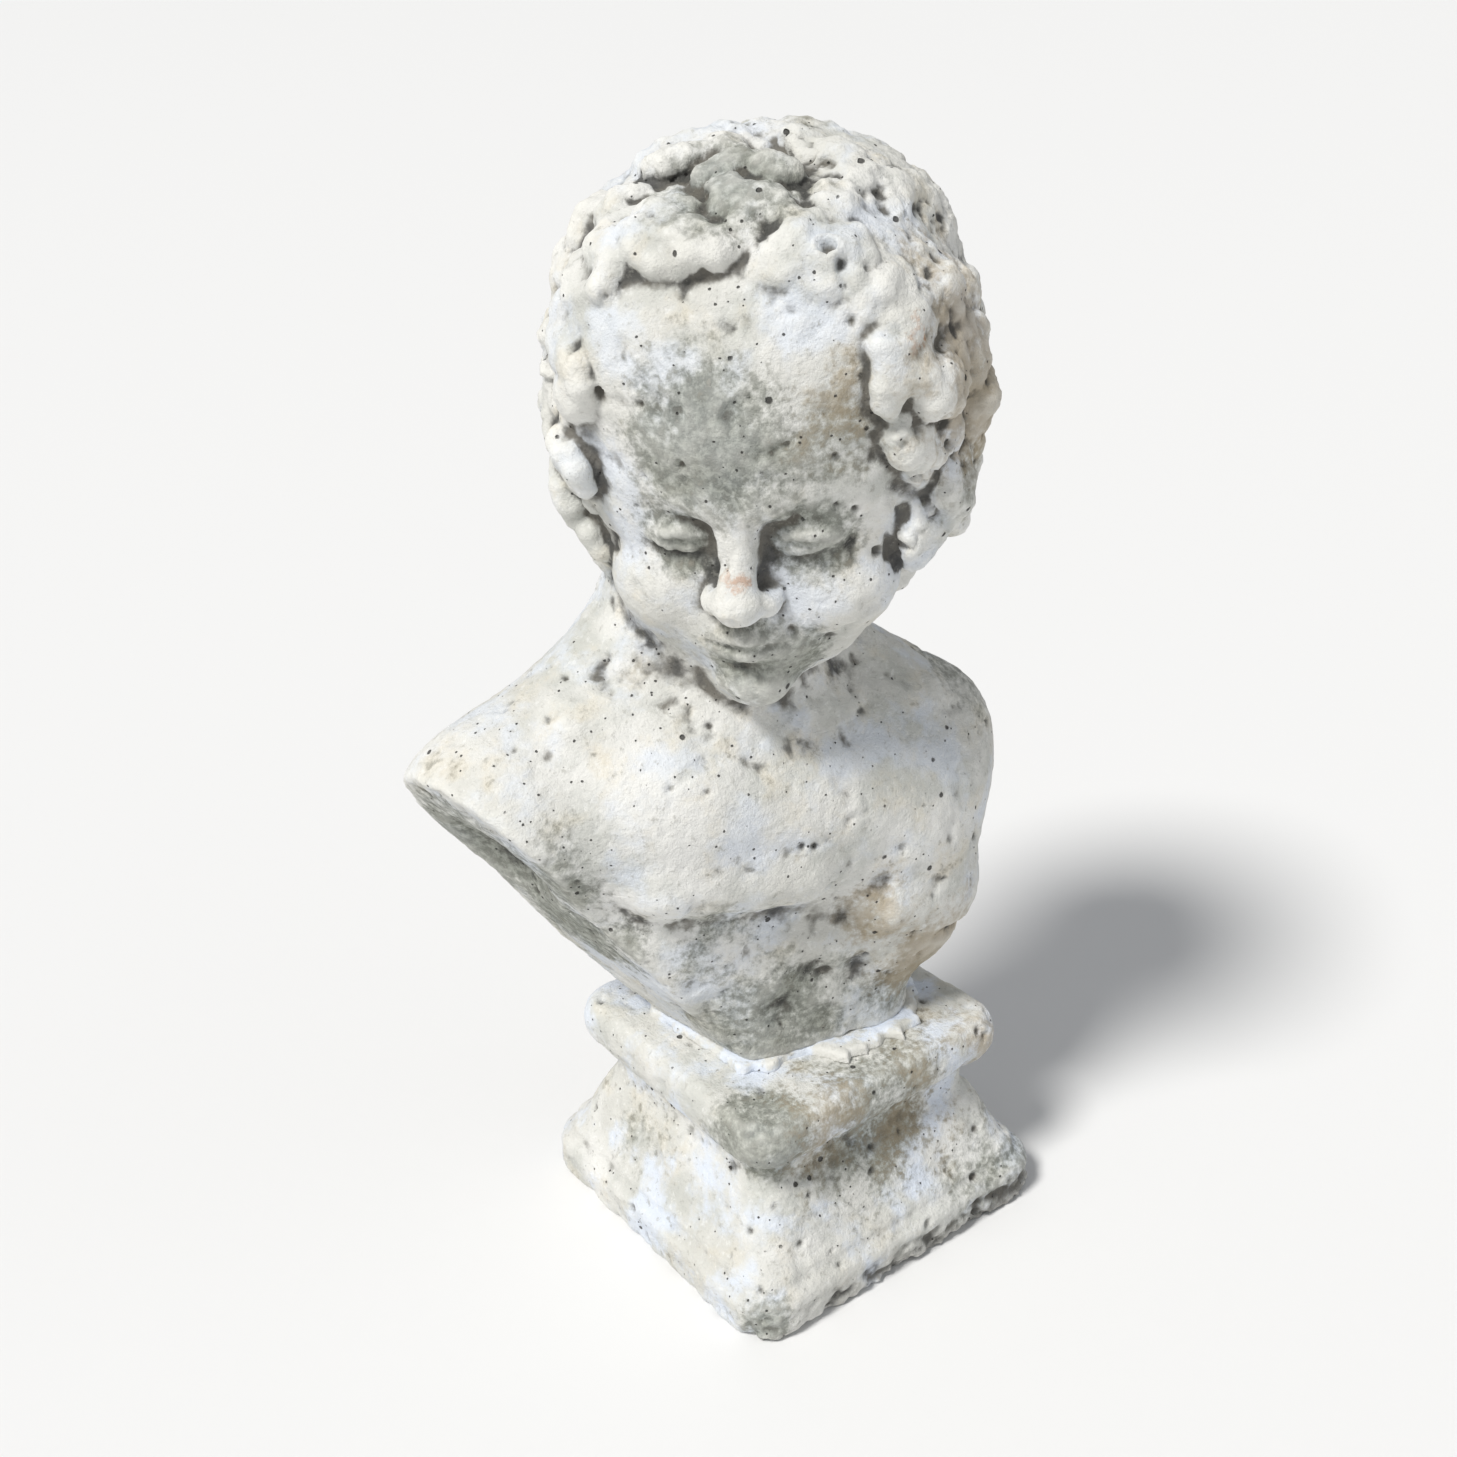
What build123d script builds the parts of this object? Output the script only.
from build123d import *

# Garden bust of a child on a square moulded plinth, in cast stone.
#
# The bust and the plinth are two castings. A bed of lime mortar lies between them, and a steel dowel set in
# grout holds the bust's foot on the plinth. A reinforcing bar is cast into the chest, neck and head.
#
# Frame: millimetres, +Z up, origin at the centre of the plinth's underside. The plinth's front faces -Y,
# the chest is turned a little to the figure's own right (-X) and the head a good deal further, and bowed.

import os
from math import cos, pi, radians, sin

# --- plinth -------------------------------------------------------------------------------------------
plinth_side = 170.0  # over the foot band, the widest part
plinth_height = 98.0
slab_side = 142.0  # over the rounded top slab
slab_thickness = 24.0
throat_side = 118.0  # narrowest part, under the slab
throat_drop = 9.0  # from the slab's underside down to the throat
band_height = 20.0  # foot band, under the long sweep
band_edge = 6.0  # rounding of the foot band's lower edge
plinth_corner = 15.0  # rounding of the plinth's upright corners

# --- bust ---------------------------------------------------------------------------------------------
foot_width = 106.0
foot_depth = 100.0
foot_place = (2.0, 13.0)  # centre of the bust's foot on the plinth
torso_turn = -13.0  # about +Z, in degrees; the chest looks from -Y towards -X
shoulder_place = (-23.0, 1.0)  # centre of the chest at the shoulders
shoulder_width = 253.0  # between the tips of the cut arms
shoulder_rise = 135.0  # from the bust's foot up to the middle of the shoulder line
shoulder_tilt = 9.3  # the figure's right shoulder is the higher one, in degrees
chest_depth = 110.0
flank_width = 98.0  # from the chest's middle to the figure's left flank, just above the foot
flank_rise = 38.0
neck_radius = 38.0
neck_place = (-23.0, 0.0)
neck_rise = 235.0  # from the bust's foot up to the neck's end, inside the head

head_width = 122.0  # skull, without hair
head_height = 171.0  # chin to crown, without hair
head_depth = 146.0
head_rise = 272.0  # from the bust's foot up to the head's centre
head_place = (-17.0, -19.0)
head_turn = -48.0  # about +Z
head_bow = 15.0  # the face looks down by this angle
hair_thickness = 11.0
lock_radius = 17.0
lock_spread = 118.0  # the row of locks runs this far down either side, in degrees from the middle of the brow
locks_at_brow = 8

# --- joint between the castings -----------------------------------------------------------------------
mortar_thickness = 3.0
mortar_margin = 3.0  # the mortar stands out past the foot by this much, as a smeared edge
dowel_diameter = 12.0
dowel_in_plinth = 52.0
dowel_in_bust = 60.0
grout_wall = 3.0  # grout round the dowel and under its ends
bar_diameter = 8.0  # reinforcing bar cast into the bust
bar_cover = 50.0  # stone between the bar's upper end and the crown

bust_z = plinth_height + mortar_thickness  # the bust's foot
foot_plane = Plane(origin=(*foot_place, bust_z), z_dir=(0, 0, 1)).rotated((0, 0, torso_turn))


def frame_at(place, z, turn, tilt=0.0, bow=0.0):
    """A plane at a place, turned about +Z, then tilted sideways about its own Y and bowed about its own X."""
    return Plane(origin=(*place, z), z_dir=(0, 0, 1)).rotated((0, 0, turn)).rotated((bow, tilt, 0))


def between(a, b, share):
    """The value or the point that lies share of the way from a to b."""
    if isinstance(a, tuple):
        return tuple(between(m, n, share) for m, n in zip(a, b))
    return a + (b - a) * share


# --- the plinth ---------------------------------------------------------------------------------------
def plinth_outline():
    """Side length at each height: foot band, long hollow sweep, throat, and the slab's rounded edge."""
    slab_z = plinth_height - slab_thickness
    throat_z = slab_z - throat_drop
    nose = slab_thickness / 2  # the slab's edge is a half round
    sides = []
    for i in range(5):  # rounded lower edge of the foot band
        a = i / 4 * pi / 2
        sides.append((band_edge * (1 - cos(a)), plinth_side - 2 * band_edge * (1 - sin(a))))
    for i in range(9):  # the sweep leaves the band almost level and ends upright at the throat
        a = i / 8 * pi / 2
        rise = between(band_height, throat_z, sin(a) ** 1.2)
        sides.append((rise, between(throat_side, plinth_side, (1 - sin(a)) ** 0.8)))
    for i in range(1, 4):  # small cove up to the slab
        a = i / 4 * pi / 2
        sides.append((throat_z + throat_drop * sin(a), between(throat_side, slab_side - nose, 1 - cos(a))))
    for i in range(9):  # the slab's edge
        a = (i / 8 - 0.5) * pi
        sides.append((slab_z + nose + nose * sin(a), slab_side - nose + nose * cos(a)))
    return sides


def make_plinth():
    sections = [Pos(0, 0, z) * RectangleRounded(side, side, plinth_corner) for z, side in plinth_outline()]
    return loft(sections, ruled=True)


# --- the bust -----------------------------------------------------------------------------------------
def torso_sections():
    """Rise share from foot to shoulder line, then right, left and depth as shares of half the shoulders' width
    and half the chest's depth."""
    half_width, half_depth = shoulder_width / 2, chest_depth / 2
    foot, depth = foot_width / 2 / half_width, foot_depth / 2 / half_depth
    flank = flank_width / half_width
    neck = neck_radius / half_width
    return [
        (0.00, foot, foot, depth),
        (0.14, between(foot, 1.0, 0.20), between(foot, flank, 0.70), between(depth, 1.0, 0.6)),
        (0.30, between(foot, 1.0, 0.36), flank * 1.02, 1.04),
        (0.62, 0.92, between(flank, 1.0, 0.60), 1.06),
        (0.86, 1.06, 1.06, 1.00),
        (1.02, 1.05, 1.05, 0.82),
        (1.18, 0.78, 0.78, 0.72),
        (1.34, neck * 1.4, neck * 1.4, 0.74),
    ]


def make_torso():
    sections = []
    for share, right, left, depth in torso_sections():
        place = between(foot_place, shoulder_place, min(share, 1.0))
        plane = frame_at(place, bust_z + shoulder_rise * share, torso_turn, tilt=shoulder_tilt * min(share, 1.0))
        half_width = shoulder_width / 4 * (right + left)
        outline = Ellipse(half_width, chest_depth / 2 * depth)
        sections.append(plane * Pos(shoulder_width / 4 * (left - right), 0) * outline)
    body = loft(sections) - arm_cut(-1, foot_width / 2, 0) - arm_cut(1, flank_width, flank_rise)
    return body & Pos(0, 0, bust_z) * Box(600, 600, 600, align=(Align.CENTER, Align.CENTER, Align.MIN))


def arm_cut(side, low_x, low_z):
    """The block cut off one arm: it leans out from a point low on the flank to the shoulder's tip."""
    tip_x = side * shoulder_width / 2
    tip_z = shoulder_rise - tip_x * sin(radians(shoulder_tilt))
    face = Polygon(
        (side * low_x, low_z),
        (tip_x, tip_z),
        (tip_x, tip_z + shoulder_rise),
        (side * shoulder_width, tip_z + shoulder_rise),
        (side * shoulder_width, low_z),
        align=None,
    )
    upright = Plane(origin=foot_plane.origin, x_dir=foot_plane.x_dir, z_dir=-foot_plane.y_dir)
    drift_x, drift_y = (b - a for a, b in zip(foot_place, shoulder_place))
    return Pos(drift_x, drift_y, 0) * extrude(upright * face, amount=chest_depth * 2, both=True)


def make_neck():
    base = frame_at(neck_place, bust_z + shoulder_rise, torso_turn)
    top = frame_at(neck_place, bust_z + neck_rise, head_turn)
    return loft([base * Circle(neck_radius * 1.15), top * Circle(neck_radius)])


def head_frame():
    return frame_at(head_place, bust_z + head_rise, head_turn, bow=head_bow)


def head_loft(sections, grow=0.0):
    """Level ellipses joined in the head's own frame, -Y forward. Each section gives its height as a share of the
    half height, then the half width, the front and the back as shares; grow widens them all."""
    outlines = []
    for height, width, front, back in sections:
        half_width = head_width / 2 * width + grow
        half_depth = head_depth / 4 * (back - front) + grow
        middle = head_depth / 4 * (back + front)
        outlines.append(Pos(0, middle, (head_height / 2 + grow) * height) * Ellipse(half_width, half_depth))
    return loft(outlines)


def make_face():
    sections = [
        (-1.00, 0.24, -0.78, -0.42),
        (-0.86, 0.50, -0.92, -0.16),
        (-0.60, 0.76, -0.97, 0.24),
        (-0.28, 0.92, -0.98, 0.50),
        (0.10, 0.98, -0.96, 0.60),
        (0.50, 0.90, -0.88, 0.60),
        (0.80, 0.50, -0.50, 0.40),
    ]
    nose = Pos(0, -head_depth * 0.48, -head_height * 0.15) * Sphere(head_width * 0.075)
    return head_loft(sections) + nose


def make_hair():
    """The hair's mass: full over the brow and crown, set back at the temples so that the face is open."""
    sections = [
        (-0.72, 0.60, 0.06, 0.62),
        (-0.50, 0.90, -0.14, 0.88),
        (-0.16, 1.04, -0.30, 1.00),
        (0.22, 1.08, -0.60, 1.06),
        (0.52, 1.06, -0.88, 1.04),
        (0.80, 0.88, -0.74, 0.88),
        (1.00, 0.40, -0.26, 0.44),
    ]
    return head_loft(sections, grow=hair_thickness)


def lock_places():
    """Round locks along the hair's edge, from one ear over the brow to the other."""
    for i in range(locks_at_brow):
        turn = radians(between(-lock_spread, lock_spread, i / (locks_at_brow - 1)))
        side, up = sin(turn), cos(turn)
        yield (head_width / 2 * 1.06 * side, -head_depth / 2 * between(0.30, 0.92, up), head_height / 2 * 0.56 * up)


def make_head():
    locks = [Pos(*place) * Sphere(lock_radius) for place in lock_places()]
    return head_frame() * (make_hair() + make_face()).fuse(*locks)


def dowel_place():
    """The dowel stands upright under the neck, inside the foot."""
    return between(foot_place, shoulder_place, 0.5)


def make_bust():
    bust = make_torso() + make_neck() + make_head()
    return bust - bust_socket() - bar_blank()


# --- dowel, grout, bar and mortar ---------------------------------------------------------------------
def upright_rod(radius, low, high):
    return Pos(*dowel_place(), low) * Cylinder(radius, high - low, align=(Align.CENTER, Align.CENTER, Align.MIN))


dowel_low = plinth_height - dowel_in_plinth
dowel_high = bust_z + dowel_in_bust
socket_radius = dowel_diameter / 2 + grout_wall
bar_low = dowel_high + grout_wall
bar_high = bust_z + head_rise + head_height / 2 - bar_cover


def plinth_socket():
    return upright_rod(socket_radius, dowel_low - grout_wall, plinth_height)


def bust_socket():
    return upright_rod(socket_radius, bust_z, dowel_high + grout_wall)


def bar_blank():
    return upright_rod(bar_diameter / 2, bar_low, bar_high)


def make_dowel():
    pin = upright_rod(dowel_diameter / 2, dowel_low, dowel_high)
    return chamfer(pin.edges(), dowel_diameter / 12)


def make_mortar():
    bed = extrude(Plane(origin=(0, 0, plinth_height)) * foot_outline(mortar_margin), amount=mortar_thickness)
    return bed - upright_rod(dowel_diameter / 2, plinth_height, bust_z)


def foot_outline(margin):
    shape = Ellipse(foot_width / 2 + margin, foot_depth / 2 + margin)
    return Pos(*foot_place) * Rot(0, 0, torso_turn) * shape


def main():
    os.makedirs("parts", exist_ok=True)
    dowel = make_dowel()
    parts = {
        "plinth_casting": make_plinth() - plinth_socket(),
        "bust_casting": make_bust(),
        "mortar_joint": make_mortar(),
        "dowel_pin": dowel,
        "grout_in_plinth": plinth_socket() - dowel,
        "grout_in_bust": bust_socket() - dowel,
        "neck_bar": bar_blank(),
    }
    for name, shape in parts.items():
        export_step(shape, f"parts/{name}.step")


main()
